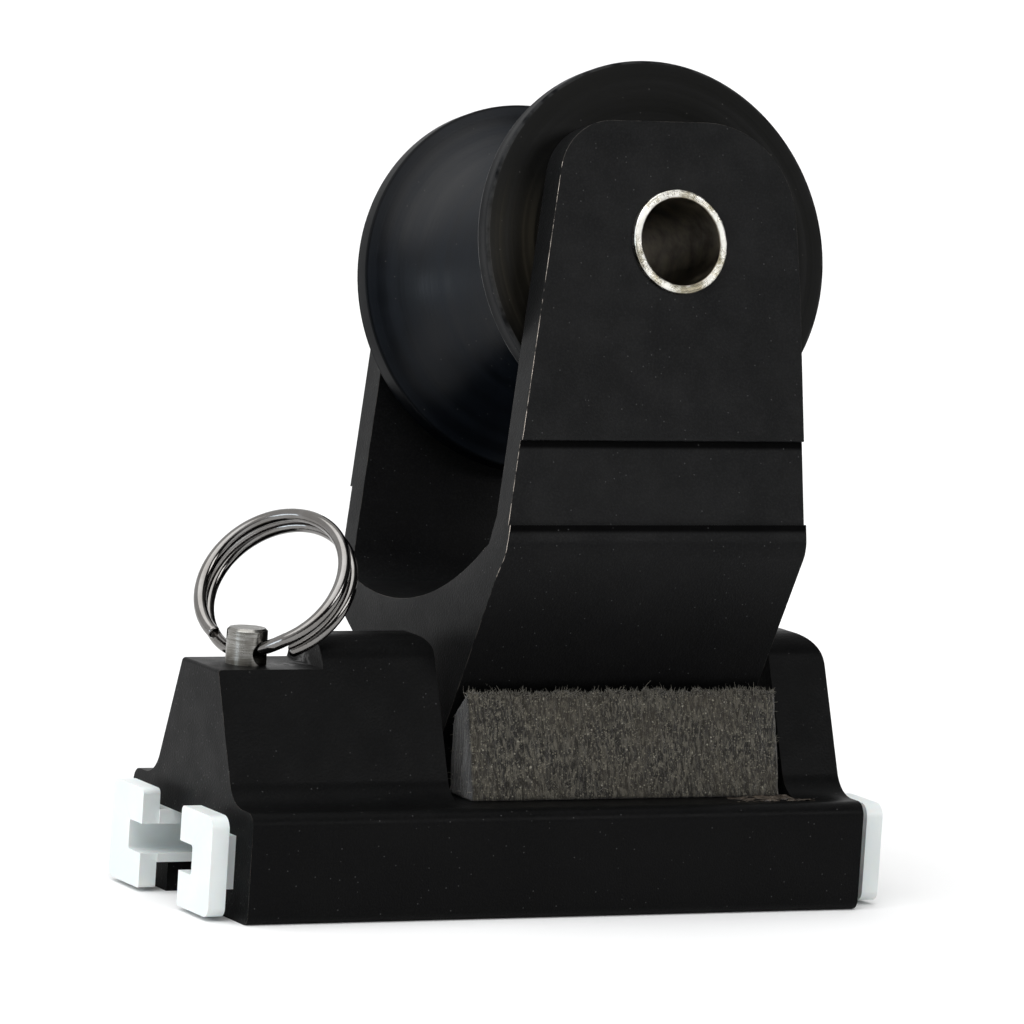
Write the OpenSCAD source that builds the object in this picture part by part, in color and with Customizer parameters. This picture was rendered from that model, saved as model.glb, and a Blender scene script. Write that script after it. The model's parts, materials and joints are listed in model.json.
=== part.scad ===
// Track car with a tilting roller fork.
// Frame: X along the track, Y across it, Z up. The origin is the centre of the car's underside.
// All lengths are in millimetres. The near side is -Y.

/* [Car] */
// Length of the car along the track
car_length = 120; // [110:1:130]
// Width of the car's base
car_width = 50; // [46:0.5:54]
// Height of the base flanges
base_height = 19.4; // [18.5:0.1:21]
// Height of the two high lugs that carry the pivot
ridge_height = 46.9; // [45:0.1:50]
// Height of the low flat that the stop pin comes through
flat_height = 41.6; // [40:0.1:43]
// Width of the ridge where it leaves the base
ridge_foot_width = 32.4; // [31:0.2:34]
// Width of the ridge at its top, before its edges are rounded
ridge_top_width = 10.6; // [8.5:0.1:11]
// Where the low flat ends and the left lug rises, along X
step_x = -40; // [-42:0.5:-38]
// Left wall of the cradle between the lugs, along X
cradle_left_x = -18.1; // [-19:0.1:-17.5]
// Right wall of the cradle between the lugs, along X
cradle_right_x = 48.7; // [48:0.1:50]

/* [Track slot] */
// Width of the flat track that the slot takes, measured inside the liners
track_width = 26.4; // [26:0.1:27]
// Height of the slot inside the liners
track_height = 5.2; // [5:0.1:5.6]
// Width of the gap between the liners' lips
throat_width = 15.6; // [15:0.1:17]
// Height of the slot's floor above the underside
slot_floor = 6.9; // [6.5:0.1:7.2]
// Width of the undercut that the liners lie in
undercut_width = 37; // [35:0.5:38]
// How far the liners' heads stand off the car's ends
head_gap = 2.8; // [1:0.1:4]
// Thickness of a liner head along X
head_thickness = 3.2; // [2:0.1:4]

/* [Fork] */
// Lean of the fork at rest, away from the near side, in degrees
rest_lean = 14.47; // [12:0.01:15]
// Height of the fork's pivot
pivot_z = 22.8; // [22.5:0.1:23.2]
// Middle of the fork's foot along X
fork_x = 15; // [14:0.1:16]
// Width of the fork's foot along X
fork_width = 59.8; // [58:0.1:60.5]
// Distance between the outer faces of the cheeks
fork_span = 68.6; // [67:0.1:70]
// Thickness of a cheek
cheek_thickness = 5.9; // [5.5:0.1:6.5]
// Thickness of the fork's stem between the pads
stem_thickness = 10.4; // [10:0.1:10.8]

/* [Roller] */
// Roller and axle centre along X
roller_x = 22.6; // [22:0.1:23]
// Roller and axle centre height, with the fork upright
roller_z = 111.8; // [110:0.1:114]
// Diameter of the roller's flanges
flange_diameter = 67.4; // [64:0.1:68]
// Diameter of the roller at its waist
waist_diameter = 36; // [34:0.5:42]
// Length of the roller over its flanges
roller_length = 52.4; // [51:0.1:53]
// Thickness of a flange at its rim
rim_thickness = 3.9; // [3:0.1:5]
// Outer diameter of the hollow axle
axle_diameter = 18.5; // [17:0.1:19]
// Wall of the hollow axle
axle_wall = 1.5; // [1.2:0.1:2]

/* [Stop pin] */
// Stop pin axis along X
pin_x = -51.4; // [-52:0.1:-51]
// Diameter of the stop pin
pin_diameter = 7.2; // [7:0.1:7.6]
// Height that the pin stands above the low flat at rest
pin_proud = 6.3; // [6:0.1:7]
// Travel of the pin when it is pulled up
pin_lift = 5.5; // [4:0.1:5.8]
// Diameter of the split ring over its coils
ring_diameter = 29.6; // [29:0.1:30]
// Thickness of the split ring's wire
ring_wire = 2.3; // [2.1:0.1:2.4]

/* [Hidden] */

$fn = 96;
eps = 0.01;
near = -1;
far = 1;
arc_step = 6;          // degrees between the points of a rounded corner
running_gap = 0.05;    // radial clearance of a running fit

// Car
edge_radius = 2.4;           // rounding along the base flanges
foot_radius = 6;             // hollow fillet where the ridge leaves the base
ridge_radius = 6;            // rounding along the top of the ridge
lip_gap = 17.2;              // gap between the car's own lips, which the liners go in through
lip_top = 5.3;               // top of the car's lips
slot_roof = 14.6;            // underside of the metal above the track
lug_corner = 2.6;            // rounding of the lugs' upper corners, seen from the side
end_corner = 5.5;            // rounding of the right lug's outer corner
half_length = car_length / 2;

// Liners
lip_top_edge = slot_floor + track_height;
head_low = 0.75;
head_high = 18.3;
head_inner = 8.05;
head_outer = 20.9;
liner_float = 0.35;          // the liners lie slightly off centre along X
liner_end = half_length + head_gap;

// Pivot
pivot_diameter = 6;
pivot_blind_x = -34;                       // closed end of the pin's hole in the left lug
bush_wall = 1.5;
bush_flange_diameter = 10;
bush_sleeve = 12;                          // length of a bush inside the stem
stem_left = fork_x - fork_width / 2;
stem_right = fork_x + fork_width / 2;
trough_radius = stem_thickness / 2 + 0.7;
lock_screw_x = 54;
lock_screw_diameter = 4;
hex_socket = 2.3;

// Pads
pad_front = 17;              // near face of the relaxed pad at the base, from the middle
pad_back = 7.4;              // its back face, clear of the stem
pad_lip = 12.4;              // near face of the relaxed pad at its top
pad_height = 38;
pad_set_front = 19.4;        // the far pad is squeezed flatter and bulges outward
pad_length = 61.6;
pad_x = 16.6;

// Fork, measured with the fork upright
cheek_inner = fork_span / 2 - cheek_thickness;
bend_z = 57.2;               // where the cheeks turn inwards
bend_radius = 5;
recess_low = 61.8;
recess_high = 76.6;
recess_depth = 0.8;
crotch_z = 53;               // lowest point between the cheeks
crotch_radius = 60;
crotch_corner = 7;
cheek_top = 133.2;
v_slope = 1.057;             // rise of the fork's slanting underside for each millimetre outwards
stem_top = bend_z - v_slope * (fork_span / 2 - stem_thickness / 2);
cheek_left_low = -13.9;
cheek_left_high = 1.9;
cheek_right_high = 46.5;
axle_bore = axle_diameter / 2;

// Roller
groove_half = roller_length / 2 - rim_thickness;
groove_arc = 0.985;          // how near the groove's sides come to square at the rim
bush_length = 14;
bush_outer = axle_diameter / 2 + 2;
washer_radius = 15;
washer_thickness = cheek_inner - roller_length / 2 - 0.15;
tube_proud = 0.9;

// Stop pin
pin_top = flat_height + pin_proud;
tip_clearance = 1.6;                       // height of the lifted tip above the track slot
pin_tip = lip_top_edge + tip_clearance - pin_lift; // lower end of the pin at rest
spring_bore = 12.4;                        // counterbore for the spring, open into the slot's roof
spring_roof = 34;                          // where the counterbore ends
clip_z = 15.4;
clip_thickness = 0.8;
clip_diameter = 11.4;
clip_seat = pin_diameter - 1.4;            // bottom of the groove that the clip sits in
washer_z = clip_z + clip_thickness;
seat_thickness = 0.8;
seat_diameter = 11.8;
tip_taper = 0.8;                           // chamfer at the pin's lower end
top_taper = 0.45;                          // chamfer at its top
spring_low = washer_z + seat_thickness;
spring_wire = 1.1;
spring_mean = 5;
spring_turns = 6;
hole_radius = 2.3;
hole_lift = 2.1;                           // height of the ring's hole above the low flat
hole_z = flat_height + hole_lift;
hole_turn = -57.7;                         // direction of the cross-hole about Z, in degrees
ring_lean = 37.8;                          // lean of the split ring from upright at rest, in degrees
ring_mean = (ring_diameter - ring_wire) / 2;
ring_spread = 3.44;                        // distance between the middles of the ring's two turns
ring_start = 32;                           // cut ends, in degrees from the cross-hole
ring_end = 2 * 360 - 28;
ring_crossing = 34;                        // half of the arc where the wire crosses over

// ---- shared shapes ----

// Points of a polygon whose corners are rounded: each corner is [x, y, radius].
function turned(corners, i) =
    let (n = len(corners),
         c = [corners[i][0], corners[i][1]],
         a = [corners[(i + n - 1) % n][0], corners[(i + n - 1) % n][1]] - c,
         b = [corners[(i + 1) % n][0], corners[(i + 1) % n][1]] - c,
         ua = a / norm(a),
         ub = b / norm(b),
         half = acos(ua * ub) / 2,
         r = corners[i][2])
    r <= 0 ? [c] :
    let (centre = c + (ua + ub) / norm(ua + ub) * r / sin(half),
         from = c + ua * r / tan(half) - centre,
         to = c + ub * r / tan(half) - centre,
         start = atan2(from[1], from[0]),
         sweep = (atan2(to[1], to[0]) - start + 540) % 360 - 180,
         steps = max(1, ceil(abs(sweep) / arc_step)))
    [for (k = [0 : steps]) centre + r * [cos(start + sweep * k / steps), sin(start + sweep * k / steps)]];

function outline(corners) = [for (i = [0 : len(corners) - 1]) each turned(corners, i)];

// Corners on the +X side of a shape that is the same on both sides, with its mirror image added.
function both_sides(corners) =
    concat(corners, [for (i = [len(corners) - 1 : -1 : 0]) [-corners[i][0], corners[i][1], corners[i][2]]]);

// A YZ outline drawn out along X, from x0 to x1.
module along_x(x0, x1) {
    translate([x0, 0, 0]) rotate([90, 0, 90]) linear_extrude(x1 - x0) children();
}

// An XZ outline drawn out along Y, from y0 to y1.
module along_y(y0, y1) {
    translate([0, y1, 0]) rotate([90, 0, 0]) linear_extrude(y1 - y0) children();
}

module rod_x(x0, x1, r) {
    translate([x0, 0, 0]) rotate([0, 90, 0]) cylinder(h = x1 - x0, r = r);
}

module rod_y(y0, y1, r) {
    translate([0, y0, 0]) rotate([-90, 0, 0]) cylinder(h = y1 - y0, r = r);
}

// Turns what is drawn upright into the fork's leaning rest position.
module leaning() {
    translate([0, 0, pivot_z]) rotate([-rest_lean, 0, 0]) translate([0, 0, -pivot_z]) children();
}

// ---- car ----

module car_section() {
    difference() {
        polygon(outline(both_sides([
            [car_width / 2, 0, 1.9],
            [car_width / 2, base_height, edge_radius],
            [ridge_foot_width / 2, base_height, foot_radius],
            [ridge_top_width / 2, ridge_height, ridge_radius]
        ])));
        translate([-lip_gap / 2, -1]) square([lip_gap, lip_top + 2]);
        translate([-undercut_width / 2, lip_top]) square([undercut_width, slot_roof - lip_top]);
    }
}

// What is left of the ridge, seen from the near side.
module car_side() {
    polygon(outline([
        [-half_length, -1, 0],
        [half_length, -1, 0],
        [half_length, ridge_height + eps, end_corner],
        [cradle_right_x, ridge_height + eps, lug_corner],
        [cradle_right_x, base_height, 0],
        [cradle_left_x, base_height, 0],
        [cradle_left_x, ridge_height + eps, lug_corner],
        [step_x, ridge_height + eps, 0],
        [step_x, flat_height, 0],
        [-half_length, flat_height, 0.6]
    ]));
}

module car_body() {
    color("#1b1b1d") difference() {
        intersection() {
            along_x(-half_length, half_length) car_section();
            along_y(-car_width / 2, car_width / 2) car_side();
        }
        translate([0, 0, pivot_z]) {
            rod_x(cradle_left_x, cradle_right_x, trough_radius);
            rod_x(pivot_blind_x, half_length + 1, pivot_diameter / 2);
        }
        translate([pin_x, 0, 0]) {
            cylinder(h = ridge_height, r = pin_diameter / 2 + running_gap);
            cylinder(h = spring_roof, d = spring_bore);
        }
        translate([lock_screw_x, 0, 0]) cylinder(h = pivot_z, d = lock_screw_diameter);
    }
}

// Liner drawn on the far side, and mirrored for the near one.
module liner(side) {
    translate([liner_float, 0, 0]) mirror([0, side == near ? 1 : 0, 0]) difference() {
        union() {
            along_x(-liner_end, liner_end)
                translate([throat_width / 2, lip_top])
                    square([(undercut_width - throat_width) / 2, slot_roof - lip_top]);
            for (end = [-1, 1])
                along_x(end > 0 ? liner_end - eps : -liner_end - head_thickness,
                        end > 0 ? liner_end + head_thickness : -liner_end + eps)
                    polygon(outline([
                        [head_inner, head_low, 0.6],
                        [head_outer, head_low, 1.8],
                        [head_outer, head_high, 2.4],
                        [head_inner, head_high, 1]
                    ]));
        }
        along_x(-car_length, car_length)
            polygon(outline([
                [0, slot_floor, 0],
                [track_width / 2, slot_floor, 0.6],
                [track_width / 2, lip_top_edge, 0.6],
                [0, lip_top_edge, 0]
            ]));
    }
}

module liner_near() { color("#eef0ee") liner(near); }
module liner_far() { color("#eef0ee") liner(far); }

// ---- pivot ----

module fork_pivot_pin() {
    color("#b9b6ae") translate([0, 0, pivot_z])
        rod_x(pivot_blind_x, half_length - 0.5, pivot_diameter / 2);
}

module pivot_lock_screw() {
    foot = slot_roof + 0.8;
    color("#8d8f92") translate([lock_screw_x, 0, 0]) difference() {
        translate([0, 0, foot])
            cylinder(h = pivot_z - pivot_diameter / 2 - foot, d = lock_screw_diameter);
        translate([0, 0, foot - 1]) cylinder(h = 3.2, d = hex_socket, $fn = 6);
    }
}

module pivot_bush(wall_x, stem_x) {
    inward = stem_x > wall_x ? 1 : -1;
    flange_x = min(wall_x + inward * 0.1, stem_x);
    flange_end = max(wall_x + inward * 0.1, stem_x);
    sleeve_x = min(stem_x, stem_x + inward * bush_sleeve);
    color("#e6e3d8") leaning() translate([0, 0, pivot_z]) difference() {
        union() {
            rod_x(flange_x, flange_end, bush_flange_diameter / 2);
            rod_x(sleeve_x, sleeve_x + bush_sleeve, pivot_diameter / 2 + bush_wall);
        }
        rod_x(stem_left - 20, stem_right + 20, pivot_diameter / 2 + running_gap);
    }
}

module pivot_bush_left() { pivot_bush(cradle_left_x, stem_left); }
module pivot_bush_right() { pivot_bush(cradle_right_x, stem_right); }

// ---- fork ----

// Cheeks, crotch and stem seen along X, with the fork upright.
module fork_section() {
    difference() {
        union() {
            polygon(outline(both_sides([
                [stem_thickness / 2, pivot_z, 0],
                [stem_thickness / 2, stem_top, 1.5],
                [fork_span / 2, bend_z, bend_radius],
                [fork_span / 2, cheek_top + 1, 0]
            ])));
            translate([0, pivot_z]) circle(d = stem_thickness);
        }
        fork_mouth();
        for (side = [near, far])
            translate([side * fork_span / 2, (recess_low + recess_high) / 2])
                square([2 * recess_depth, recess_high - recess_low], center = true);
    }
}

// The space between the cheeks: straight walls over a shallow round bottom.
module fork_mouth() {
    wall_foot = crotch_z + crotch_radius - sqrt(crotch_radius * crotch_radius - cheek_inner * cheek_inner);
    steps = 12;
    polygon(concat(
        [[cheek_inner, cheek_top + 2], [-cheek_inner, cheek_top + 2], [-cheek_inner, wall_foot + 4]],
        [for (k = [-steps : steps])
            let (y = (cheek_inner - 1.6) * k / steps)
            [y, crotch_z + crotch_radius - sqrt(crotch_radius * crotch_radius - y * y)]],
        [[cheek_inner, wall_foot + 4]]
    ));
}

// Cheeks and foot seen from the near side, with the fork upright.
module fork_side() {
    polygon(outline([
        [stem_left, pivot_z - stem_thickness, 0],
        [stem_right, pivot_z - stem_thickness, 0],
        [stem_right, bend_z, 0],
        [cheek_right_high, cheek_top - 30, 0],
        [cheek_right_high, cheek_top, 17],
        [cheek_left_high, cheek_top, 11],
        [cheek_left_low - 0.5, bend_z + 1, 0],
        [stem_left, bend_z - 4, 0]
    ]));
}

module fork() {
    color("#19191b") leaning() difference() {
        intersection() {
            along_x(stem_left - 1, stem_right + 4) fork_section();
            along_y(-fork_span / 2 - 1, fork_span / 2 + 1) fork_side();
        }
        translate([roller_x, 0, roller_z]) rod_y(-fork_span, fork_span, axle_bore);
        translate([0, 0, pivot_z]) rod_x(stem_left - 1, stem_right + 1, pivot_diameter / 2 + bush_wall);
    }
}

// ---- pads ----

// Relaxed pad: its back stands clear of the stem, its top runs under the fork's slanting underside.
module pad_near() {
    color("#6f6a60") along_x(pad_x - pad_length / 2, pad_x + pad_length / 2)
        polygon([
            [-pad_front, base_height],
            [-pad_back, base_height],
            [-pad_back, 32.2],
            [-pad_back - 0.6, 33.6],
            [-pad_lip + 0.5, pad_height],
            [-pad_lip, pad_height]
        ]);
}

// Squeezed pad: lower and fuller, because the fork rests over it.
module pad_far() {
    color("#6f6a60") along_x(pad_x - pad_length / 2, pad_x + pad_length / 2)
        polygon([
            [9, base_height],
            [pad_set_front, base_height],
            [pad_set_front, 26.6],
            [17.6, 29],
            [9, 26]
        ]);
}

// ---- axle and roller ----

module ring_y(y0, y1, outer, inner) {
    difference() {
        rod_y(y0, y1, outer);
        rod_y(y0 - 1, y1 + 1, inner);
    }
}

module at_axle() {
    leaning() translate([roller_x, 0, roller_z]) children();
}

module axle_tube() {
    end = fork_span / 2 + tube_proud;
    color("#b4ada0") at_axle() ring_y(-end, end, axle_diameter / 2, axle_diameter / 2 - axle_wall);
}

module thrust_washer(side) {
    low = side * cheek_inner;
    high = side * (cheek_inner - washer_thickness);
    color("#d9d7cf") at_axle()
        ring_y(min(low, high), max(low, high), washer_radius, axle_diameter / 2 + running_gap);
}

module thrust_washer_near() { thrust_washer(near); }
module thrust_washer_far() { thrust_washer(far); }

module roller_bush(side) {
    low = side * roller_length / 2;
    high = side * (roller_length / 2 - bush_length);
    color("#d9d7cf") at_axle()
        ring_y(min(low, high), max(low, high), bush_outer, axle_diameter / 2 + running_gap);
}

module roller_bush_near() { roller_bush(near); }
module roller_bush_far() { roller_bush(far); }

// Rise of the groove from its waist (0) to its rim (1): nearly a quarter of an ellipse.
function groove_rise(u) = (1 - sqrt(1 - groove_arc * u * u)) / (1 - sqrt(1 - groove_arc));

// Half section of the roller: [distance from the axis, place along it].
module roller_section() {
    flange_r = flange_diameter / 2;
    waist_r = waist_diameter / 2;
    steps = 24;
    groove = [for (k = [-steps : steps])
        let (u = k / steps)
        [waist_r + (flange_r - waist_r) * groove_rise(u), groove_half * u]];
    bore = axle_diameter / 2 + 0.6;
    bush_seat = roller_length / 2 - bush_length;
    polygon(concat(
        [[bush_outer, -roller_length / 2], [flange_r - 0.5, -roller_length / 2],
         [flange_r, -roller_length / 2 + 0.5]],
        groove,
        [[flange_r, roller_length / 2 - 0.5], [flange_r - 0.5, roller_length / 2],
         [bush_outer, roller_length / 2], [bush_outer, bush_seat], [bore, bush_seat],
         [bore, -bush_seat], [bush_outer, -bush_seat]]
    ));
}

module roller() {
    color("#1d2024") at_axle() rotate([-90, 0, 0]) rotate_extrude() roller_section();
}

// ---- stop pin ----

module at_pin(z) {
    translate([pin_x, 0, z]) children();
}

module cross_hole_frame() {
    at_pin(hole_z) rotate([0, 0, hole_turn]) children();
}

module plunger_pin() {
    color("#aaa69c") difference() {
        union() {
            at_pin(pin_tip + tip_taper)
                cylinder(h = pin_top - top_taper - pin_tip - tip_taper, d = pin_diameter);
            at_pin(pin_tip)
                cylinder(h = tip_taper, d1 = pin_diameter - 2 * tip_taper, d2 = pin_diameter);
            at_pin(pin_top - top_taper)
                cylinder(h = top_taper, d1 = pin_diameter, d2 = pin_diameter - 2 * top_taper);
        }
        cross_hole_frame() rod_x(-pin_diameter, pin_diameter, hole_radius);
        at_pin(clip_z) difference() {
            cylinder(h = clip_thickness, d = pin_diameter + 1);
            translate([0, 0, -1]) cylinder(h = clip_thickness + 2, d = clip_seat);
        }
    }
}

module plunger_clip() {
    color("#8d8f92") at_pin(clip_z) difference() {
        cylinder(h = clip_thickness, d = clip_diameter);
        translate([0, 0, -1]) cylinder(h = clip_thickness + 2, d = clip_seat);
        translate([0, -clip_seat * 0.45, -1])
            cube([clip_diameter, clip_seat * 0.9, clip_thickness + 2]);
    }
}

module plunger_washer() {
    color("#c0bdb6") at_pin(washer_z) difference() {
        cylinder(h = seat_thickness, d = seat_diameter);
        translate([0, 0, -1]) cylinder(h = seat_thickness + 2, d = pin_diameter + 0.2);
    }
}

// Round wire wound around Z: each path point is [degrees around, height].
module coil(path, mean, wire, sides) {
    count = len(path) - 1;
    points = [for (step = path) for (s = [0 : sides - 1])
        let (t = 360 * s / sides, out = mean + wire / 2 * cos(t))
        [out * cos(step[0]), out * sin(step[0]), step[1] + wire / 2 * sin(t)]];
    walls = [for (k = [0 : count - 1]) for (s = [0 : sides - 1])
        let (n = (s + 1) % sides)
        [k * sides + n, (k + 1) * sides + n, (k + 1) * sides + s, k * sides + s]];
    low_end = [for (s = [sides - 1 : -1 : 0]) s];
    high_end = [for (s = [0 : sides - 1]) count * sides + s];
    polyhedron(points = points, faces = concat([low_end], walls, [high_end]));
}

module plunger_spring() {
    per_turn = 20;
    start = spring_low + spring_wire / 2;
    rise = (spring_roof - spring_low - spring_wire) / spring_turns;
    path = [for (k = [0 : spring_turns * per_turn]) [360 * k / per_turn, start + rise * k / per_turn]];
    color("#9a9a98") at_pin(0) coil(path, spring_mean, spring_wire, 8);
}

// Which side of the ring's middle plane the wire runs on, from -1 to 1. It crosses over in the pin.
function ring_side(turn) =
    let (t = max(-1, min(1, (turn - 360) / ring_crossing))) 1.25 * t - 0.25 * t * t * t;

// Ring frame: X along the cross-hole, the ring's middle up its own Z, leaning over to its side.
module split_ring() {
    steps = 110;
    path = [for (k = [0 : steps])
        let (turn = ring_start + (ring_end - ring_start) * k / steps)
        [turn - 90, ring_spread / 2 * ring_side(turn)]];
    color("#c9c4b8") cross_hole_frame() rotate([-ring_lean, 0, 0])
        translate([0, 0, ring_mean]) rotate([90, 0, 0])
            coil(path, ring_mean, ring_wire, 12);
}

car_body();
liner_near();
liner_far();
fork_pivot_pin();
pivot_lock_screw();
pad_near();
pad_far();
fork();
pivot_bush_left();
pivot_bush_right();
axle_tube();
thrust_washer_near();
thrust_washer_far();
roller();
roller_bush_near();
roller_bush_far();
plunger_pin();
plunger_clip();
plunger_washer();
plunger_spring();
split_ring();
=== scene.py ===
import json
import math
import random

import bmesh
import bpy
from mathutils import Matrix, Vector, noise


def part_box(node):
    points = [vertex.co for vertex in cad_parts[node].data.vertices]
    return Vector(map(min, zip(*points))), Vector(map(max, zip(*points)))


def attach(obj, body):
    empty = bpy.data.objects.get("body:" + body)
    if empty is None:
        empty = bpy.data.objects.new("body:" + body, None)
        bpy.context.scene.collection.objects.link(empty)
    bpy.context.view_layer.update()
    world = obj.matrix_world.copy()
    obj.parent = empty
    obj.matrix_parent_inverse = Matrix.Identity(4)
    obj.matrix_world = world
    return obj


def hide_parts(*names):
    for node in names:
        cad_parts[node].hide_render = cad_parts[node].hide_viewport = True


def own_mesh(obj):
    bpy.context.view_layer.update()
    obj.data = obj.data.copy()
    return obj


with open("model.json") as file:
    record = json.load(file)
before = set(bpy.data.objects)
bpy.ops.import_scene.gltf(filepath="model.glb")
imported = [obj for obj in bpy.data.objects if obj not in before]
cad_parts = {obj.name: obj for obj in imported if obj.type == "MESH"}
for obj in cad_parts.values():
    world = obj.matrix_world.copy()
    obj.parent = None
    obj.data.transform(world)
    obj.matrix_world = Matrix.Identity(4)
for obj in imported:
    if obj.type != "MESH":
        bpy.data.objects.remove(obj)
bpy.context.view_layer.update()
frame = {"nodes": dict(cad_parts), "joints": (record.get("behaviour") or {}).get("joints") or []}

nodes = frame["nodes"]
joints = {joint["name"]: joint for joint in frame["joints"]}
MM = 0.001
dice = random.Random(41)

# ---- places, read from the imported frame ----

AXLE = Vector(joints["roller_spin"]["pos_m"])
AXIS = Vector(joints["roller_spin"]["axis"]).normalized()
HOLE = Vector(joints["ring_swing"]["pos_m"])
HOLE_AXIS = Vector(joints["ring_swing"]["axis"]).normalized()
LEAN = math.asin(-AXIS.z)
PIVOT = Vector(joints["fork_tilt"]["pos_m"])
LEDGES = (39.0, 53.8)    # heights of the cheeks' ledges over the pivot, along the fork, in mm
RUB = Vector((-29, -25, 4))    # middle of the rubbed patch on the near flange, from the axle, in mm
RING_LEAN = 37.8    # degrees from upright
RING_MEAN = 13.65    # radius of the ring's turns to the middle of the wire, in mm
SHARP = math.radians(30)    # convex edges sharper than this are rounded
LEDGE_Z = joints["fork_tilt"]["deforming_nodes"][0]["fixed_end_z_m"]


# ---- camera ----

def place_camera():
    """Camera at the photograph's angle. It is rolled a little, as the photograph is."""
    azimuth = math.radians(-27.431)
    elevation = math.radians(6.995)
    roll = math.radians(3.688)
    target = Vector((-1.280, 0, 68.136)) * MM
    distance = 1320.95 * MM
    back = Vector((
        math.sin(azimuth) * math.cos(elevation),
        -math.cos(azimuth) * math.cos(elevation),
        math.sin(elevation),
    ))
    right = (-back).cross(Vector((0, 0, 1))).normalized()
    up = right.cross(-back)
    across = math.cos(roll) * right + math.sin(roll) * up
    upward = -math.sin(roll) * right + math.cos(roll) * up
    data = bpy.data.cameras.new("camera")
    data.lens = 263.44
    data.sensor_width = 36
    data.clip_end = 20
    camera = bpy.data.objects.new("camera", data)
    turn = Matrix((across, upward, back)).transposed().to_4x4()
    camera.matrix_world = Matrix.Translation(target + distance * back) @ turn
    bpy.context.scene.collection.objects.link(camera)
    bpy.context.scene.camera = camera


# ---- materials ----

class Surface:
    """A procedural material, with one short call for each kind of node."""

    def __init__(self, name, **inputs):
        self.material = bpy.data.materials.new(name)
        self.material.use_nodes = True
        self.tree = self.material.node_tree
        self.shader = self.tree.nodes["Principled BSDF"]
        spot = self.node("ShaderNodeTexCoord").outputs
        self.place = spot["Object"]
        self.facing = spot["Normal"]
        for key, value in inputs.items():
            self.shader.inputs[key.replace("_", " ")].default_value = value

    def node(self, kind, **settings):
        made = self.tree.nodes.new(kind)
        for key, value in settings.items():
            setattr(made, key, value)
        return made

    def feed(self, socket, value):
        if isinstance(value, bpy.types.NodeSocket):
            self.tree.links.new(value, socket)
        else:
            socket.default_value = value

    def math(self, operation, a, b=0.0, clamp=False):
        made = self.node("ShaderNodeMath", operation=operation, use_clamp=clamp)
        self.feed(made.inputs[0], a)
        self.feed(made.inputs[1], b)
        return made.outputs[0]

    def vector(self, operation, a, b):
        made = self.node("ShaderNodeVectorMath", operation=operation)
        self.feed(made.inputs[0], a)
        self.feed(made.inputs[1], b)
        return made.outputs["Value" if operation in ("DOT_PRODUCT", "DISTANCE") else "Vector"]

    def stretched(self, factors):
        return self.vector("MULTIPLY", self.place, factors)

    def noise(self, scale, detail=3.0, rough=0.55, at=None):
        made = self.node("ShaderNodeTexNoise")
        self.feed(made.inputs["Vector"], at or self.place)
        self.feed(made.inputs["Scale"], scale)
        self.feed(made.inputs["Detail"], detail)
        self.feed(made.inputs["Roughness"], rough)
        return made.outputs["Fac"]

    def remap(self, value, low, high, to_low=0.0, to_high=1.0):
        made = self.node("ShaderNodeMapRange", interpolation_type="SMOOTHSTEP")
        for key, number in zip(("Value", "From Min", "From Max", "To Min", "To Max"),
                               (value, low, high, to_low, to_high)):
            self.feed(made.inputs[key], number)
        return made.outputs["Result"]

    def specks(self, scale, share, size):
        """Small round specks: share of the cells carry one, of that size against its cell."""
        made = self.node("ShaderNodeTexVoronoi")
        self.feed(made.inputs["Vector"], self.place)
        self.feed(made.inputs["Scale"], scale)
        chosen = self.math("GREATER_THAN", self.split(made.outputs["Color"])[0], 1 - share)
        near = self.remap(made.outputs["Distance"], size, size * 0.4)
        return self.math("MULTIPLY", chosen, near)

    def split(self, vector):
        made = self.node("ShaderNodeSeparateXYZ")
        self.feed(made.inputs[0], vector)
        return made.outputs

    def mix(self, factor, a, b):
        made = self.node("ShaderNodeMix", data_type="RGBA")
        self.feed(made.inputs["Factor"], factor)
        self.feed(made.inputs["A"], a)
        self.feed(made.inputs["B"], b)
        return made.outputs["Result"]

    def attribute(self, name):
        return self.node("ShaderNodeAttribute", attribute_name=name).outputs["Fac"]

    def near_point(self, point, inner, outer):
        """1 within inner of a point of the object, 0 beyond outer."""
        return self.remap(self.vector("DISTANCE", self.place, tuple(point)), outer, inner)

    def bump(self, height, depth, under=None):
        made = self.node("ShaderNodeBump")
        self.feed(made.inputs["Height"], height)
        made.inputs["Distance"].default_value = depth
        if under:
            self.feed(made.inputs["Normal"], under)
        return made.outputs["Normal"]

    def finish(self, colour=None, rough=None, normal=None, metal=None):
        for key, value in (("Base Color", colour), ("Roughness", rough),
                           ("Normal", normal), ("Metallic", metal)):
            if value is not None:
                self.feed(self.shader.inputs[key], value)
        return self.material


def grey(value, warm=0.0):
    """A grey, a little warmer (or cooler, below 0) if asked."""
    return (value * (1 + warm), value, value * (1 - warm), 1)


def around_axle(surface):
    """Distance from the axle's line and distance along it."""
    offset = surface.vector("SUBTRACT", surface.place, tuple(AXLE))
    along = surface.vector("DOT_PRODUCT", offset, tuple(AXIS))
    spot = surface.node("ShaderNodeVectorMath", operation="SCALE")
    surface.feed(spot.inputs[0], tuple(AXIS))
    surface.feed(spot.inputs["Scale"], along)
    return surface.vector("DISTANCE", offset, spot.outputs["Vector"]), along


def joined(surface, x, y, z):
    """One vector from three values."""
    made = surface.node("ShaderNodeCombineXYZ")
    for socket, value in zip(made.inputs, (x, y, z)):
        surface.feed(socket, value)
    return made.outputs[0]


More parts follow.
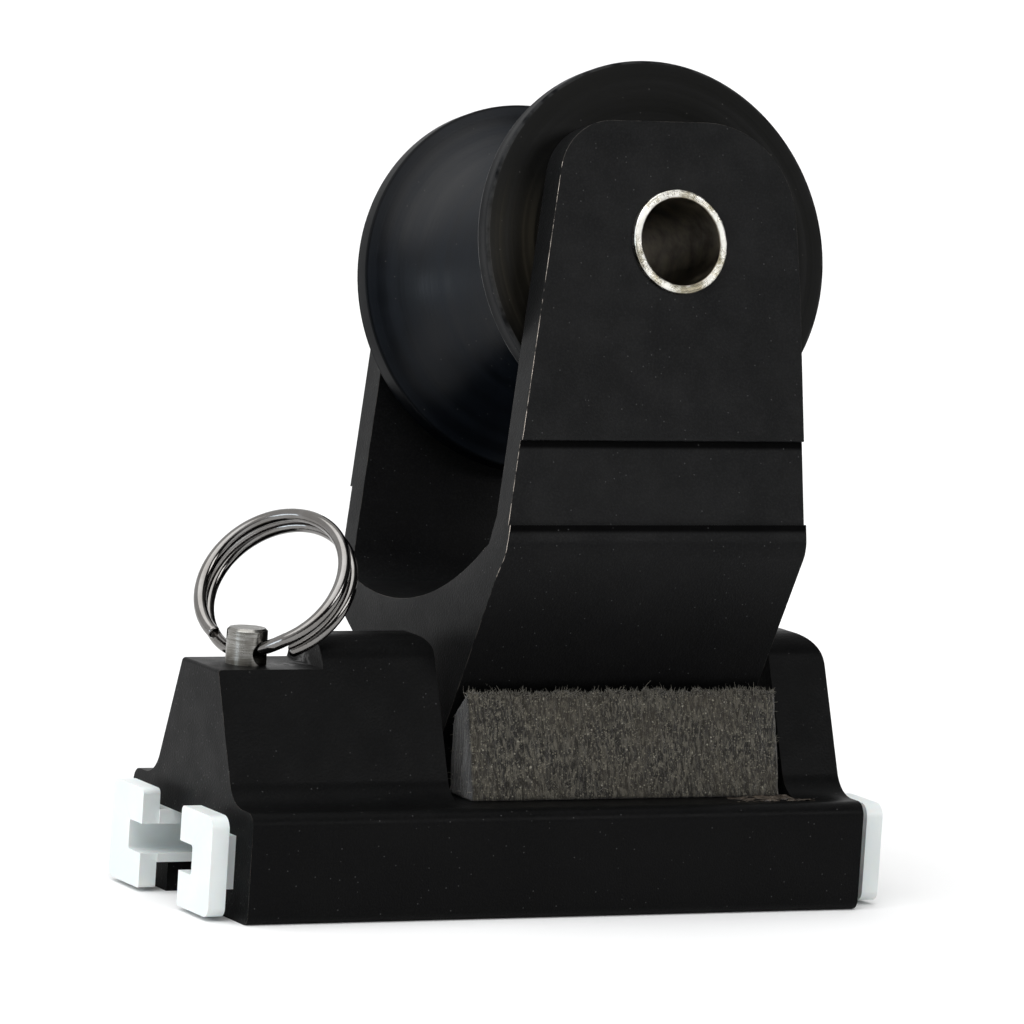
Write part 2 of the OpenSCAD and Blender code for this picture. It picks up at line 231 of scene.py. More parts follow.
def fork_painted_shade(surface):
    """How much of the fork's finish stays out of painted shade: painted shade falls just under each ledge
    and darkens the fork towards its foot.
    """
    offset = surface.vector("SUBTRACT", surface.place, tuple(PIVOT))
    height = surface.vector("DOT_PRODUCT", offset, (0, math.sin(LEAN), math.cos(LEAN)))
    across = surface.vector("SUBTRACT", surface.place, tuple(AXLE))
    apart = surface.math("ABSOLUTE", surface.vector("DOT_PRODUCT", across, tuple(AXIS)))
    flat = surface.math("ABSOLUTE", surface.vector("DOT_PRODUCT", surface.facing, tuple(AXIS)))
    outer = surface.math("MULTIPLY", surface.remap(flat, 0.9, 0.97), surface.remap(apart, 0.030, 0.032))
    # painted shade that darkens the fork towards its foot
    clear = surface.remap(height, 0.019, 0.037, 0.5, 1.0)
    # painted shade in a thin band just under each ledge, on the cheeks' outer faces
    for ledge in LEDGES:
        over = surface.remap(height, (ledge - 0.15) * MM, (ledge + 0.15) * MM)
        under = surface.remap(height, (ledge - 0.9) * MM, (ledge - 1.7) * MM)
        lit = surface.math("MAXIMUM", over, under)
        ledge_shade = surface.math("MULTIPLY", surface.math("SUBTRACT", 1.0, lit), outer)
        kept = surface.math("SUBTRACT", 1.0, surface.math("MULTIPLY", ledge_shade, 0.85))
        clear = surface.math("MULTIPLY", clear, kept)
    return clear


def black_anodised(name, tone, scuffs=(), clear=None):
    """Bead-blasted black anodising: a fine grain, pale dust, and bright metal where edges have worn.

    A scuff is (point, reach, colour). clear gives how much of the finish stays out of painted shade.
    """
    gloss = 0.055
    s = Surface(name, Specular_IOR_Level=gloss)
    broad = s.noise(45, 4, 0.6)
    grain = s.noise(2600, 2, 0.6)
    colour = s.mix(s.remap(broad, 0.3, 0.7), grey(tone * 0.75, -0.04), grey(tone * 1.15, -0.02))
    colour = s.mix(s.remap(grain, 0.4, 0.75, 0, 0.5), colour, grey(tone * 2.2, -0.02))
    dust = s.math("ADD", s.specks(1700, 0.04, 0.26), s.specks(700, 0.02, 0.11), clamp=True)
    if clear:
        # painted shade: where clear is low the colour goes nearly black and the gloss drops
        unshaded = clear(s)
        colour = s.mix(unshaded, grey(tone * 0.1), colour)
        s.feed(s.shader.inputs["Specular IOR Level"], s.math("MULTIPLY", unshaded, gloss))
    for point, reach, rubbed in scuffs:
        rub = s.math("MULTIPLY", s.near_point(point, reach * 0.3, reach),
                     s.remap(s.noise(700, 4, 0.7), 0.42, 0.62))
        colour = s.mix(rub, colour, rubbed)
    colour = s.mix(s.math("MULTIPLY", dust, 0.6), colour, grey(0.085))
    wear = s.math("MULTIPLY", s.attribute("edge_wear"), s.remap(s.noise(330, 4, 0.75), 0.40, 0.60))
    colour = s.mix(wear, colour, grey(0.45, 0.12))
    matt = s.remap(s.noise(160, 4), 0.3, 0.7, 0.32, 0.42)
    rough = s.math("ADD", matt, s.math("MULTIPLY", wear, -0.12))
    normal = s.bump(grain, 0.00005)
    return s.finish(colour, rough, normal, s.math("MULTIPLY", wear, 0.85))


def turned_black():
    """Black anodising over a lathe-turned face: fine rings around the axle, a bluish tint painted into
    the groove as sheen, and painted shade on the flanges' rims.
    """
    s = Surface("turned_black_roller", Anisotropic=0.75)
    radius, along = around_axle(s)
    offset = s.vector("SUBTRACT", s.place, tuple(AXLE))
    around = s.vector("CROSS_PRODUCT", tuple(AXIS), offset)
    s.feed(s.shader.inputs["Tangent"], s.vector("CROSS_PRODUCT", around, s.facing))
    rings = s.noise(1.0, 3, 0.7, joined(s, s.math("MULTIPLY", radius, 2400),
                                        s.math("MULTIPLY", along, 1500), 0.0))
    bands = s.noise(1.0, 3, 0.6, joined(s, s.math("MULTIPLY", radius, 420),
                                        s.math("MULTIPLY", along, 260), 3.0))
    cloud = s.noise(60, 4, 0.6)
    tone = s.math("ADD", s.math("MULTIPLY", bands, 0.5), s.math("MULTIPLY", cloud, 0.5))
    colour = s.mix(s.remap(tone, 0.35, 0.65), (0.0017, 0.0017, 0.0015, 1), (0.0040, 0.0040, 0.0035, 1))
    # painted sheen: the groove's colour is tinted blue for the bluish reflection there
    painted_blue_sheen = s.mix(s.remap(tone, 0.35, 0.65), (0.0020, 0.0028, 0.0042, 1), (0.0044, 0.0062, 0.0092, 1))
    in_groove = s.remap(s.math("ABSOLUTE", along), 0.0258, 0.0248)
    colour = s.mix(in_groove, colour, painted_blue_sheen)
    rim_from = 0.0331
    rim_to = 0.0335
    # painted shade: the flanges' rims are coloured darker against the light they catch
    rim = s.remap(radius, rim_from, rim_to)
    colour = s.mix(rim, colour, (0.0011, 0.0015, 0.0022, 1))
    sheen = s.math("ADD", s.math("MULTIPLY", in_groove, 0.14), 0.08)
    inside_rim = s.remap(radius, rim_to, rim_from, 0.45, 1)
    s.feed(s.shader.inputs["Specular IOR Level"], s.math("MULTIPLY", sheen, inside_rim))
    rubbed = s.math("MULTIPLY", s.near_point(AXLE + RUB * MM, 0.005, 0.019),
                    s.remap(along, -0.0255, -0.0262))
    fine = s.noise(1.0, 2, 0.6, joined(s, s.math("MULTIPLY", radius, 900), 0.0, 8.0))
    streaks = s.remap(fine, 0.6, 0.75)
    colour = s.mix(s.math("MULTIPLY", streaks, 0.2), colour, (0.012, 0.0115, 0.010, 1))
    colour = s.mix(s.math("MULTIPLY", rubbed, s.remap(bands, 0.45, 0.65, 0.25, 0.9)), colour,
                   (0.020, 0.0175, 0.0125, 1))
    dust = s.math("ADD", s.specks(1500, 0.03, 0.24), s.specks(500, 0.02, 0.09), clamp=True)
    colour = s.mix(s.math("MULTIPLY", dust, 0.5), colour, grey(0.08, 0.05))
    wear = s.math("MULTIPLY", s.attribute("edge_wear"), s.remap(s.noise(220, 3, 0.7), 0.35, 0.6))
    colour = s.mix(wear, colour, grey(0.35))
    rough = s.math("ADD", s.remap(bands, 0.3, 0.7, 0.30, 0.44), s.remap(cloud, 0.3, 0.7, 0.0, 0.08))
    normal = s.bump(rings, 0.00003)
    return s.finish(colour, rough, normal, s.math("MULTIPLY", wear, 0.8))


def stainless(name, tone, rough, warm=0.03, blotch=140):
    """Bright stainless steel with fine level turning marks and slightly uneven polish."""
    s = Surface(name, Metallic=1.0)
    uneven = s.noise(blotch, 4, 0.6)
    hair = s.noise(1.0, 3, 0.7, s.stretched((500, 500, 5200)))
    colour = s.mix(s.remap(uneven, 0.3, 0.7), grey(tone * 0.78, warm), grey(tone, warm * 0.6))
    worn = s.math("ADD", uneven, s.math("MULTIPLY", hair, 0.5))
    roughness = s.remap(worn, 0.5, 1.1, rough * 0.7, rough * 1.5)
    return s.finish(colour, roughness, s.bump(hair, 0.000008))


def turned_pin():
    """Turned stainless pin: level turning marks that stretch its highlights up and down."""
    s = Surface("pin_steel", Metallic=1.0, Anisotropic=0.85)
    s.feed(s.shader.inputs["Tangent"], joined(s, 0.0, 0.0, 1.0))
    marks = s.noise(1.0, 3, 0.7, s.stretched((260, 260, 5200)))
    uneven = s.noise(300, 4, 0.6)
    colour = s.mix(s.remap(marks, 0.35, 0.65), (0.15, 0.145, 0.13, 1), (0.30, 0.295, 0.28, 1))
    colour = s.mix(s.remap(uneven, 0.45, 0.7, 0, 0.5), colour, (0.10, 0.09, 0.07, 1))
    return s.finish(colour, s.remap(uneven, 0.3, 0.7, 0.24, 0.34), s.bump(marks, 0.00002))


def cut_tube():
    """Stainless tube, bright on its cut ends, with a painted brownish reflection inside."""
    s = Surface("tube_steel", Metallic=1.0)
    radius, along = around_axle(s)
    inside = s.remap(radius, 0.0080, 0.0078)
    patch = s.noise(240, 4, 0.65)
    lines = joined(s, s.math("MULTIPLY", along, 180), s.math("MULTIPLY", radius, 60000), 0.0)
    drawn = s.noise(1.0, 3, 0.7, lines)
    bright = s.mix(s.remap(patch, 0.38, 0.62), (0.26, 0.235, 0.17, 1), (0.80, 0.79, 0.74, 1))
    # painted reflection: the inside is coloured a patchy dark brown that stands in for a brownish
    # reflection
    painted_inner_reflection = s.mix(s.remap(patch, 0.3, 0.75), (0.06, 0.05, 0.036, 1), (0.22, 0.19, 0.14, 1))
    colour = s.mix(inside, bright, painted_inner_reflection)
    rough = s.math("ADD", s.remap(patch, 0.3, 0.7, 0.16, 0.34), s.math("MULTIPLY", inside, 0.14))
    normal = s.bump(s.math("ADD", patch, s.math("MULTIPLY", drawn, 0.3)), 0.00009)
    return s.finish(colour, rough, normal)


def acetal(name, colour_low, colour_high, specks=True):
    """Moulded white acetal: faintly translucent, with a soft sheen and a few dark specks."""
    s = Surface(name, Subsurface_Weight=0.12, Subsurface_Scale=0.0015, Specular_IOR_Level=0.45)
    cloud = s.noise(90, 3, 0.5)
    colour = s.mix(s.remap(cloud, 0.3, 0.7), colour_low, colour_high)
    if specks:
        colour = s.mix(s.specks(260, 0.02, 0.09), colour, (0.12, 0.10, 0.08, 1))
    skin = s.noise(1500, 2, 0.5)
    return s.finish(colour, s.remap(cloud, 0.3, 0.7, 0.30, 0.42), s.bump(skin, 0.00001))


def felt():
    """Grey wool felt: fibres that run mostly upright, pale flecks, and darker laminated sides."""
    s = Surface("grey_wool_felt", Specular_IOR_Level=0.12, Sheen_Weight=0.25, Sheen_Roughness=0.5,
                Roughness=0.92)
    strands = s.noise(1.0, 5, 0.75, s.stretched((1900, 1900, 430)))
    tufts = s.noise(1.0, 4, 0.65, s.stretched((620, 620, 250)))
    cloud = s.noise(95, 3, 0.5)
    colour = s.mix(s.remap(strands, 0.44, 0.60), (0.007, 0.0062, 0.005, 1), (0.105, 0.097, 0.077, 1))
    colour = s.mix(s.remap(tufts, 0.38, 0.68, 0.0, 0.55), colour, (0.018, 0.0165, 0.014, 1))
    colour = s.mix(s.remap(cloud, 0.35, 0.7, 0.0, 0.4), colour, (0.055, 0.047, 0.034, 1))
    grains = s.specks(2300, 0.35, 0.45)
    colour = s.mix(s.math("MULTIPLY", grains, 0.6), colour, (0.21, 0.195, 0.15, 1))
    laminae = s.noise(1.0, 2, 0.5, s.stretched((40, 1500, 40)))
    side = s.mix(s.remap(laminae, 0.42, 0.58), (0.020, 0.0205, 0.021, 1), (0.052, 0.053, 0.055, 1))
    colour = s.mix(s.math("MULTIPLY", s.attribute("side_grain"), 0.8), colour, side)
    colour = s.mix(s.attribute("loose"), colour, (0.15, 0.14, 0.115, 1))
    flecks = s.math("ADD", s.specks(1300, 0.10, 0.3), s.specks(420, 0.03, 0.14), clamp=True)
    colour = s.mix(s.math("MULTIPLY", flecks, 0.85), colour, (0.27, 0.255, 0.21, 1))
    normal = s.bump(strands, 0.0003, s.bump(tufts, 0.0004))
    return s.finish(colour, None, normal)


def dried_glue():
    """Patchy brown glue."""
    s = Surface("dried_glue", Specular_IOR_Level=0.5)
    patch = s.noise(800, 4, 0.7)
    colour = s.mix(s.remap(patch, 0.35, 0.65), (0.014, 0.010, 0.007, 1), (0.075, 0.058, 0.042, 1))
    return s.finish(colour, s.remap(patch, 0.3, 0.7, 0.35, 0.6), s.bump(patch, 0.00025))


# ---- mesh helpers ----

def adopt(name, bm, material, body, replaced=()):
    """Turns a bmesh into a piece with its material and body, and hides the CAD nodes that it stands for.
    """
    mesh = bpy.data.meshes.new(name)
    bm.to_mesh(mesh)
    bm.free()
    mesh.materials.append(material)
    piece = bpy.data.objects.new(name, mesh)
    bpy.context.scene.collection.objects.link(piece)
    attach(piece, body)
    if replaced:
        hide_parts(*replaced)
    return piece


def shade(piece, angle):
    """Smooth shading that keeps edges sharper than the angle, and keeps flat faces flat."""
    piece.data.shade_smooth()
    piece.data.set_sharp_from_angle(angle=math.radians(angle))
    weighted = piece.modifiers.new("weighted_normals", "WEIGHTED_NORMAL")
    weighted.keep_sharp = True


def copied(node):
    """A CAD node's mesh, with vertices that coincide made one."""
    bm = bmesh.new()
    bm.from_mesh(nodes[node].data)
    bmesh.ops.remove_doubles(bm, verts=bm.verts, dist=2e-6)
    return bm


def unworn(point):
    return 0.0


def softened(node, width, wear_at=unworn):
    """A CAD node's mesh with its outer edges rounded, and how worn each rounded edge is."""
    bm = copied(node)
    bmesh.ops.dissolve_limit(bm, angle_limit=math.radians(0.4), verts=bm.verts, edges=bm.edges)
    bm.normal_update()
    layer = bm.faces.layers.float.new("edge_wear")
    edges = [
        edge for edge in bm.edges
        if len(edge.link_faces) == 2 and edge.is_convex
        and edge.calc_face_angle(0) > SHARP
    ]
    made = bmesh.ops.bevel(bm, geom=edges, offset=width, offset_type="OFFSET", segments=2,
                           profile=0.5, affect="EDGES", clamp_overlap=True)
    for face in made["faces"]:
        face[layer] = wear_at(face.calc_center_median() / MM)
    bmesh.ops.triangulate(bm, faces=[face for face in bm.faces if len(face.verts) > 4])
    return bm


def rounded(corners, steps=5):
    """Points of a closed outline. A corner is (radius from the axis, place along it, rounding)."""
    points = []
    for i, (x, y, radius) in enumerate(corners):
        corner = Vector((x, y))
        before = (Vector(corners[i - 1][:2]) - corner).normalized()
        after = (Vector(corners[(i + 1) % len(corners)][:2]) - corner).normalized()
        if radius <= 0:
            points.append((x, y))
            continue
        half = before.angle(after) / 2
        reach = radius / math.tan(half)
        centre = corner + (before + after).normalized() * radius / math.sin(half)
        start = corner + before * reach - centre
        end = corner + after * reach - centre
        sweep = start.angle_signed(end)
        for k in range(steps + 1):
            turn = Matrix.Rotation(-sweep * k / steps, 2)
            points.append(tuple(centre + turn @ start))
    return points


def lathe(outline, centre, axis, segments, worn=lambda radius, along: 0.0):
    """A closed outline of (radius, place along the axis), in mm, turned around the axis."""
    side = axis.orthogonal().normalized()
    other = axis.cross(side)
    bm = bmesh.new()
    layer = bm.faces.layers.float.new("edge_wear")
    rows = []
    for k in range(segments):
        angle = 2 * math.pi * k / segments
        out = side * math.cos(angle) + other * math.sin(angle)
        rows.append([
            bm.verts.new(centre + (out * radius + axis * along) * MM)
            for radius, along in outline
        ])
    for k in range(segments):
        here = rows[k]
        after = rows[(k + 1) % segments]
        for i in range(len(outline)):
            j = (i + 1) % len(outline)
            face = bm.faces.new((here[i], here[j], after[j], after[i]))
            radius, along = ((a + b) / 2 for a, b in zip(outline[i], outline[j]))
            face[layer] = worn(radius, along)
    bmesh.ops.recalc_face_normals(bm, faces=bm.faces)
    return bm


# ---- black parts ----

def car_wear(point):
    """Edge wear on the car: bright at the end corners, faint elsewhere."""
    at_end = abs(point.x) > 59.0
    return 0.4 if at_end else 0.08


def make_car():
    """The car's body, with two rubbed patches to the left of the fork."""
    scuffs = (
        (Vector((-40, 0.5, 41.6)) * MM, 3.4 * MM, grey(0.10)),
        (Vector((-45.2, -1.6, 41.6)) * MM, 3.6 * MM, grey(0.10)),
    )
    material = black_anodised("black_anodised_car", 0.0026, scuffs)
    bm = softened("car_body", 0.32 * MM, car_wear)
    piece = adopt("car_machined", bm, material, "car", ("car_body",))
    shade(piece, 40)


def fork_wear(point):
    """Edge wear on the fork: the near cheek's left edge is rubbed bright, except beside the ledges."""
    upright = Matrix.Rotation(LEAN, 3, "X") @ (point - PIVOT / MM)
    near_cheek = upright.y < -25
    left_edge = point.x < 0.5
    level = min(abs(upright.z - ledge) for ledge in LEDGES) < 1.2
    if near_cheek and left_edge and not level:
        return 1.0
    return 0.0 if level else 0.08


def make_fork():
    # painted shade under the fork's ledges and towards its foot darkens this finish
    material = black_anodised("black_anodised_fork", 0.0060, clear=fork_painted_shade)
    bm = softened("fork", 0.35 * MM, fork_wear)
    piece = adopt("fork_machined", bm, material, "fork", ("fork",))
    shade(piece, 40)


# ---- roller and axle ----

def make_roller():
    """The roller: two flanges with softened rims on each side of a deep groove like half an ellipse."""
    flange = 33.7
    waist = 18.0
    half = 26.2
    rim = 3.9
    bush = 11.25
    bore = 9.85
    seat = 12.2
    arc = 0.985
    steps = 44
    groove_half = half - rim
    groove_top = flange - 0.45

    def groove(u):
        rise = (1 - math.sqrt(1 - arc * u * u)) / (1 - math.sqrt(1 - arc))
        return (waist + (groove_top - waist) * rise, groove_half * u)

    lip = [(bush, -half, 0.25), (flange, -half, 0.55), (flange, -groove_half - 0.02, 0.4)]
    near_lip = rounded(lip + [(bush, -groove_half, 0)], 5)[:-1]
    far_lip = [(radius, -along) for radius, along in reversed(near_lip)]
    middle = [groove(math.sin(math.pi / 2 * k / steps)) for k in range(-steps + 1, steps)]
    hidden = [(bush, seat), (bore, seat), (bore, -seat), (bush, -seat)]
    outline = near_lip + middle + far_lip + hidden

    def worn(radius, along):
        if along > 0 or radius < flange - 0.75:
            return 0.0
        on_rim = abs(along + half) < 0.6
        inner_rim = abs(along + groove_half) < 0.5
        return 0.06 if on_rim else 0.35 if inner_rim else 0.0

    bm = lathe(outline, AXLE, AXIS, 256, worn)
    piece = adopt("roller_turned", bm, turned_black(), "roller", ("roller",))
    shade(piece, 38)


def make_tube():
    """The hollow axle, with its ends cut off a little unevenly."""
    end = 35.2
    outer = 9.25
    inner = 7.75
    outline = rounded([(outer, -end, 0.35), (outer, end, 0.35), (inner, end, 0.3), (inner, -end, 0.3)], 4)
    bm = lathe(outline, AXLE, AXIS, 160)
    for vert in bm.verts:
        offset = vert.co - AXLE
        along = offset.dot(AXIS)
        if abs(along) > (end - 0.6) * MM:
            coarse = noise.noise(offset * 480) * 0.14
            fine = noise.noise(offset * 1500) * 0.05
            vert.co -= AXIS * math.copysign(abs(coarse + fine) * MM, along)
    piece = adopt("axle_tube_cut", bm, cut_tube(), "fork", ("axle_tube",))
    shade(piece, 50)


# ---- liners ----

def make_liners(material):
    for side in ("near", "far"):
        bm = softened(f"liner_{side}", 0.3 * MM)
        piece = adopt(f"liner_{side}_moulded", bm, material, "car", (f"liner_{side}",))
        shade(piece, 40)


# ---- stop pin and split ring ----

def make_pin(material):
    bm = softened("plunger_pin", 0.14 * MM)
    piece = adopt("plunger_pin_polished", bm, material, "plunger", ("plunger_pin",))
    shade(piece, 35)


def ring_frame():
    """The split ring at rest: its middle, the way up to its top, and its own axis on the near side."""
    lean = math.radians(RING_LEAN)
    across = Vector((0, 0, 1)).cross(HOLE_AXIS).normalized()
    up = Vector((0, 0, math.cos(lean))) + across * math.sin(lean)
    return HOLE + up * RING_MEAN * MM, up, HOLE_AXIS.cross(up).normalized()


def make_ring(material):
    """A split ring: round wire wound almost twice, sprung apart, that crosses over inside the pin."""
    middle, up, normal = ring_frame()
    first = math.radians(32)    # the wire's two ends, counted around from the pin's hole
    last = math.radians(692)
    half_crossing = math.radians(34)
    spread = 1.72
    wire = 1.15
    end_reach = 0.35
    end_drop = 0.30
    count = 480
    corners = 28
    bm = bmesh.new()
    rows = []
    for k in range(count + 1):
        share = k / count
        turn = first + (last - first) * share
        passed = min(max((turn - 2 * math.pi) / half_crossing, -1.0), 1.0)
        shift = spread * (1.25 * passed - 0.25 * passed ** 3)
        from_end = min(turn - first, last - turn) * RING_MEAN
        inset = max(0.0, 1 - from_end / end_reach)
        radius = wire - end_drop * (1 - math.sqrt(1 - inset * inset))
        angle = turn - math.pi / 2
        out = HOLE_AXIS * math.cos(angle) + up * math.sin(angle)
        centre = middle + (out * RING_MEAN + normal * shift) * MM
        rows.append([
            bm.verts.new(centre + (out * math.cos(a) + normal * math.sin(a)) * radius * MM)
            for a in (2 * math.pi * c / corners for c in range(corners))
        ])
    for here, after in zip(rows, rows[1:]):
        for c in range(corners):
            d = (c + 1) % corners
            bm.faces.new((here[c], after[c], after[d], here[d]))
    bm.faces.new(rows[0])
    bm.faces.new(list(reversed(rows[-1])))
    bmesh.ops.recalc_face_normals(bm, faces=bm.faces)
    piece = adopt("split_ring_coil", bm, material, "ring", ("split_ring",))
    shade(piece, 50)


# ---- felt pads ----

def add_fibre(bm, layer, root, lead, length, thick, curl):
    """One fine fibre: a thin three-sided tube that bends as it goes."""
    steps = 4
    rows = []
    for k in range(steps + 1):
        share = k / steps
        bend = curl * (share * share * length)
        centre = root + lead * (share * length) + bend
        width = thick * (1 - 0.7 * share)
        side = lead.orthogonal().normalized()
        other = lead.cross(side).normalized()
        rows.append([
            bm.verts.new(centre + (side * math.cos(a) + other * math.sin(a)) * width)
            for a in (0, 2 * math.pi / 3, 4 * math.pi / 3)
        ])
    for here, after in zip(rows, rows[1:]):
        for c in range(3):
            face = bm.faces.new((here[c], here[(c + 1) % 3], after[(c + 1) % 3], after[c]))
            face[layer] = 1.0
    bm.faces.new(list(reversed(rows[0])))
    bm.faces.new(rows[-1])


def random_unit():
    """A random direction."""
    return Vector((dice.gauss(0, 1), dice.gauss(0, 1), dice.gauss(0, 1))).normalized()


def make_pad(node, name, material):
    """A felt pad: its CAD shape remeshed finely, roughened, and given loose fibres and a frayed top."""
    spread_fibres = 1500
    crest_fibres = 1500
    stray_fibres = 60
    bm = copied(node)
    mesh = bpy.data.meshes.new(name)
    bm.to_mesh(mesh)
    bm.free()
    piece = bpy.data.objects.new(name, mesh)
    bpy.context.scene.collection.objects.link(piece)
    remesh = piece.modifiers.new("remesh", "REMESH")
    remesh.mode = "VOXEL"
    remesh.voxel_size = 0.5 * MM
    depsgraph = bpy.context.evaluated_depsgraph_get()
    fine = bpy.data.meshes.new_from_object(piece.evaluated_get(depsgraph))
    piece.modifiers.clear()
    piece.data = fine
    low, high = (Vector(corner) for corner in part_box(node))
    bm = bmesh.new()
    bm.from_mesh(fine)
    # both layers are made before either is looked up, since making one moves the other
    bm.faces.layers.float.new("side_grain")
    bm.faces.layers.float.new("loose")
    side_grain = bm.faces.layers.float["side_grain"]
    loose = bm.faces.layers.float["loose"]
    bmesh.ops.smooth_vert(bm, verts=bm.verts, factor=0.5,
                          use_axis_x=True, use_axis_y=True, use_axis_z=True)
    bm.normal_update()
    for vert in bm.verts:
        at = vert.co
        streak = noise.noise(Vector((at.x * 1100, at.y * 1100, at.z * 260)))
        lump = noise.noise(at * 230)
        ragged = noise.noise(Vector((at.x * 700, at.y * 700, 5)))
        ragged += 0.6 * noise.noise(Vector((at.x * 240, at.y * 300, 9)))
        near_top = max(0.0, 1 - (high.z - at.z) / (1.6 * MM))
        near_foot = max(0.0, 1 - (at.z - low.z) / (1.2 * MM))
        push = (0.16 * streak + 0.14 * lump - 0.1) * (1 - near_foot)
        vert.co = at + vert.normal * push * MM
        vert.co.z += near_top * (ragged * 0.8 - 0.05) * MM
    for face in bm.faces:
        face[side_grain] = min(1.0, max(0.0, abs(face.normal.x) * 1.6 - 0.4))
    faces = [face for face in bm.faces if face.calc_center_median().z > low.z + 0.8 * MM]
    roots = [(dice.choice(faces), 0.6) for _ in range(spread_fibres)]
    crest = [face for face in faces if face.calc_center_median().z > high.z - 1.3 * MM]
    roots += [(dice.choice(crest), 0.7) for _ in range(crest_fibres)]
    roots += [(dice.choice(crest), 1.7) for _ in range(stray_fibres)]
    spots = [(face.calc_center_median(), face.normal.copy(), reach) for face, reach in roots]
    for centre, normal, reach in spots:
        lead = (normal + random_unit() * 0.75 + Vector((0, 0, 0.35))).normalized()
        length = (0.25 + dice.random() * reach) * MM
        add_fibre(bm, loose, centre - normal * 0.1 * MM, lead, length,
                  (0.04 + 0.05 * dice.random()) * MM, random_unit() * 0.5 / MM * length)
    bm.to_mesh(piece.data)
    bm.free()
    piece.data.materials.clear()
    piece.data.materials.append(material)
    piece.data.shade_smooth()
    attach(piece, "car")
    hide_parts(node)
    return piece


def make_pads():
    material = felt()
    near_pad = make_pad("pad_near", "pad_near_felt", material)
    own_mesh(near_pad)
    make_pad("pad_far", "pad_far_felt", material)


# ---- glue smear beside the near pad ----

def make_glue():
    """A thin, broken film of dried glue on the ledge in front of the near pad."""
    left = 36.0
    width = 17.0
    front = -21.6
    depth = 5.2
    columns = 96
    rows = 34
    bare = 0.28
    lift = 0.02
    thickest = 0.34
    bm = bmesh.new()
    grid = []
    for i in range(columns + 1):
        line = []
        for j in range(rows + 1):
            x = left + width * i / columns
            y = front + depth * j / rows
            inward = min(i, columns - i) / columns * 2
            film = noise.noise(Vector((x * 0.45, y * 0.8, 2.0)))
            film += 0.5 * noise.noise(Vector((x * 1.6, y * 1.6, 4)))
            dome = 0.35 * math.sin(math.pi * i / columns)
            height = (film + dome - bare + 0.25 * j / rows) * min(1.0, inward * 3)
            line.append((x, y, height))
        grid.append(line)
    verts = {}

    def vert(i, j):
        if (i, j) not in verts:
            x, y, height = grid[i][j]
            z = LEDGE_Z / MM + lift + thickest * max(0.0, height)
            verts[i, j] = bm.verts.new(Vector((x, y, z)) * MM)
        return verts[i, j]

    for i in range(columns):
        for j in range(rows):
            square = ((i, j), (i + 1, j), (i + 1, j + 1), (i, j + 1))
            if max(grid[a][b][2] for a, b in square) > 0.02:
                bm.faces.new([vert(a, b) for a, b in square])
    piece = adopt("glue_film", bm, dried_glue(), "car")
    solid = piece.modifiers.new("thickness", "SOLIDIFY")
    solid.thickness = 0.05 * MM
    solid.offset = 0
    piece.data.shade_smooth()


# ---- spring of the stop pin ----

def make_spring(material):
    """The stop pin's spring, which the washer squeezes as the pin is lifted."""
    piece = adopt("plunger_spring_wound", copied("plunger_spring"), material, "car",
                  ("plunger_spring",))
    shade(piece, 50)
    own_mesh(piece)


# ---- CAD nodes that stay as they are ----

def dress(material, *names):
    """Gives CAD nodes a material."""
    for name in names:
        data = nodes[name].data
        for i in range(len(data.materials)):
            data.materials[i] = material


# ---- studio ----

def soft_light(name, place, target, size, power, colour=(1, 1, 1)):
    data = bpy.data.lights.new(name, "AREA")
    data.shape = "RECTANGLE"
    data.size, data.size_y = size
    data.energy = power
    data.color = colour
    light = bpy.data.objects.new(name, data)
    light.location = place
    light.rotation_euler = (Vector(target) - Vector(place)).to_track_quat("-Z", "Y").to_euler()
    bpy.context.scene.collection.objects.link(light)


def make_floor():
    bm = bmesh.new()
    bmesh.ops.create_grid(bm, x_segments=1, y_segments=1, size=9)
    floor_mesh = bpy.data.meshes.new("floor")
    bm.to_mesh(floor_mesh)
    bm.free()
    floor = bpy.data.objects.new("floor", floor_mesh)
    bpy.context.scene.collection.objects.link(floor)
    paint = Surface("pale_floor", Roughness=0.9, Specular_IOR_Level=0.1)
    floor_mesh.materials.append(paint.finish(paint.mix(paint.noise(6, 2), grey(0.86), grey(0.88))))


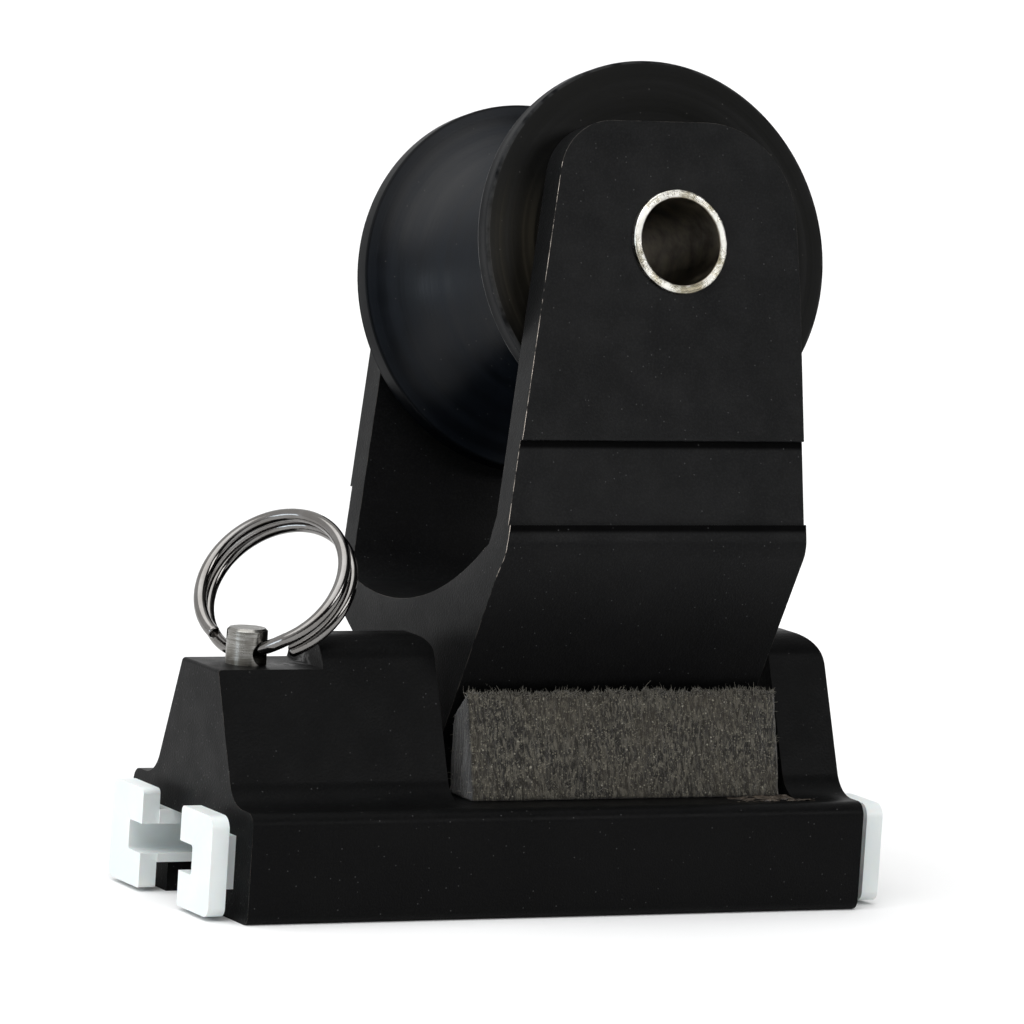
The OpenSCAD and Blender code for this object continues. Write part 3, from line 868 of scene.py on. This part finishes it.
def make_surround():
    """A white surround, which lights the roller less from the front than it looks."""
    world = bpy.data.worlds.new("studio")
    bpy.context.scene.world = world
    world.use_nodes = True
    tree = world.node_tree
    background = tree.nodes["Background"]
    direction = tree.nodes.new("ShaderNodeTexCoord").outputs["Generated"]
    facing = tree.nodes.new("ShaderNodeVectorMath")
    facing.operation = "DOT_PRODUCT"
    tree.links.new(direction, facing.inputs[0])
    facing.inputs[1].default_value = (-0.62, 0.70, 0.35)
    ramp = tree.nodes.new("ShaderNodeMapRange")
    ramp.interpolation_type = "SMOOTHSTEP"
    tree.links.new(facing.outputs["Value"], ramp.inputs["Value"])
    for key, value in (("From Min", -0.45), ("From Max", 0.6), ("To Min", 0.03), ("To Max", 1.0)):
        ramp.inputs[key].default_value = value
    seen = tree.nodes.new("ShaderNodeLightPath").outputs["Is Camera Ray"]
    brighter = tree.nodes.new("ShaderNodeMath")
    brighter.operation = "MAXIMUM"
    tree.links.new(ramp.outputs["Result"], brighter.inputs[0])
    tree.links.new(seen, brighter.inputs[1])
    tree.links.new(brighter.outputs[0], background.inputs["Strength"])
    background.inputs["Color"].default_value = (1, 1, 1, 1)


def make_lights():
    """A broad light above, and a soft one each in front and at the left."""
    sun = bpy.data.lights.new("overhead_softbox", "SUN")
    sun.angle = math.radians(70)
    sun.energy = 2.3
    overhead = bpy.data.objects.new("overhead_softbox", sun)
    overhead.rotation_euler = Vector((-0.25, -0.3, 1)).to_track_quat("Z", "Y").to_euler()
    bpy.context.scene.collection.objects.link(overhead)
    soft_light("front_softbox", (0.75, -1.35, 0.66), (0.02, 0, 0.09), (0.9, 0.4), 5.4)
    soft_light("left_softbox", (-1.3, -0.25, 0.30), (0, 0, 0.10), (0.5, 0.35), 2.4, (0.74, 0.87, 1.0))


bpy.context.scene.view_settings.view_transform = "Standard"
place_camera()
make_floor()
make_surround()
make_lights()
make_car()
make_fork()
make_roller()
make_tube()
white = acetal("white_acetal_liner", (0.68, 0.725, 0.72, 1), (0.74, 0.78, 0.775, 1))
make_liners(white)
make_pin(turned_pin())
make_ring(stainless("ring_steel", 0.20, 0.10, 0.05, 220))
make_pads()
make_glue()
dress(stainless("pivot_steel", 0.55, 0.25), "fork_pivot_pin", "plunger_washer")
dress(stainless("dark_steel", 0.28, 0.35), "pivot_lock_screw", "plunger_clip")
make_spring(stainless("spring_wire", 0.4, 0.3))
dress(acetal("natural_acetal_bush", (0.62, 0.60, 0.53, 1), (0.70, 0.68, 0.61, 1), False),
      "pivot_bush_left", "pivot_bush_right", "thrust_washer_near", "thrust_washer_far",
      "roller_bush_near", "roller_bush_far")
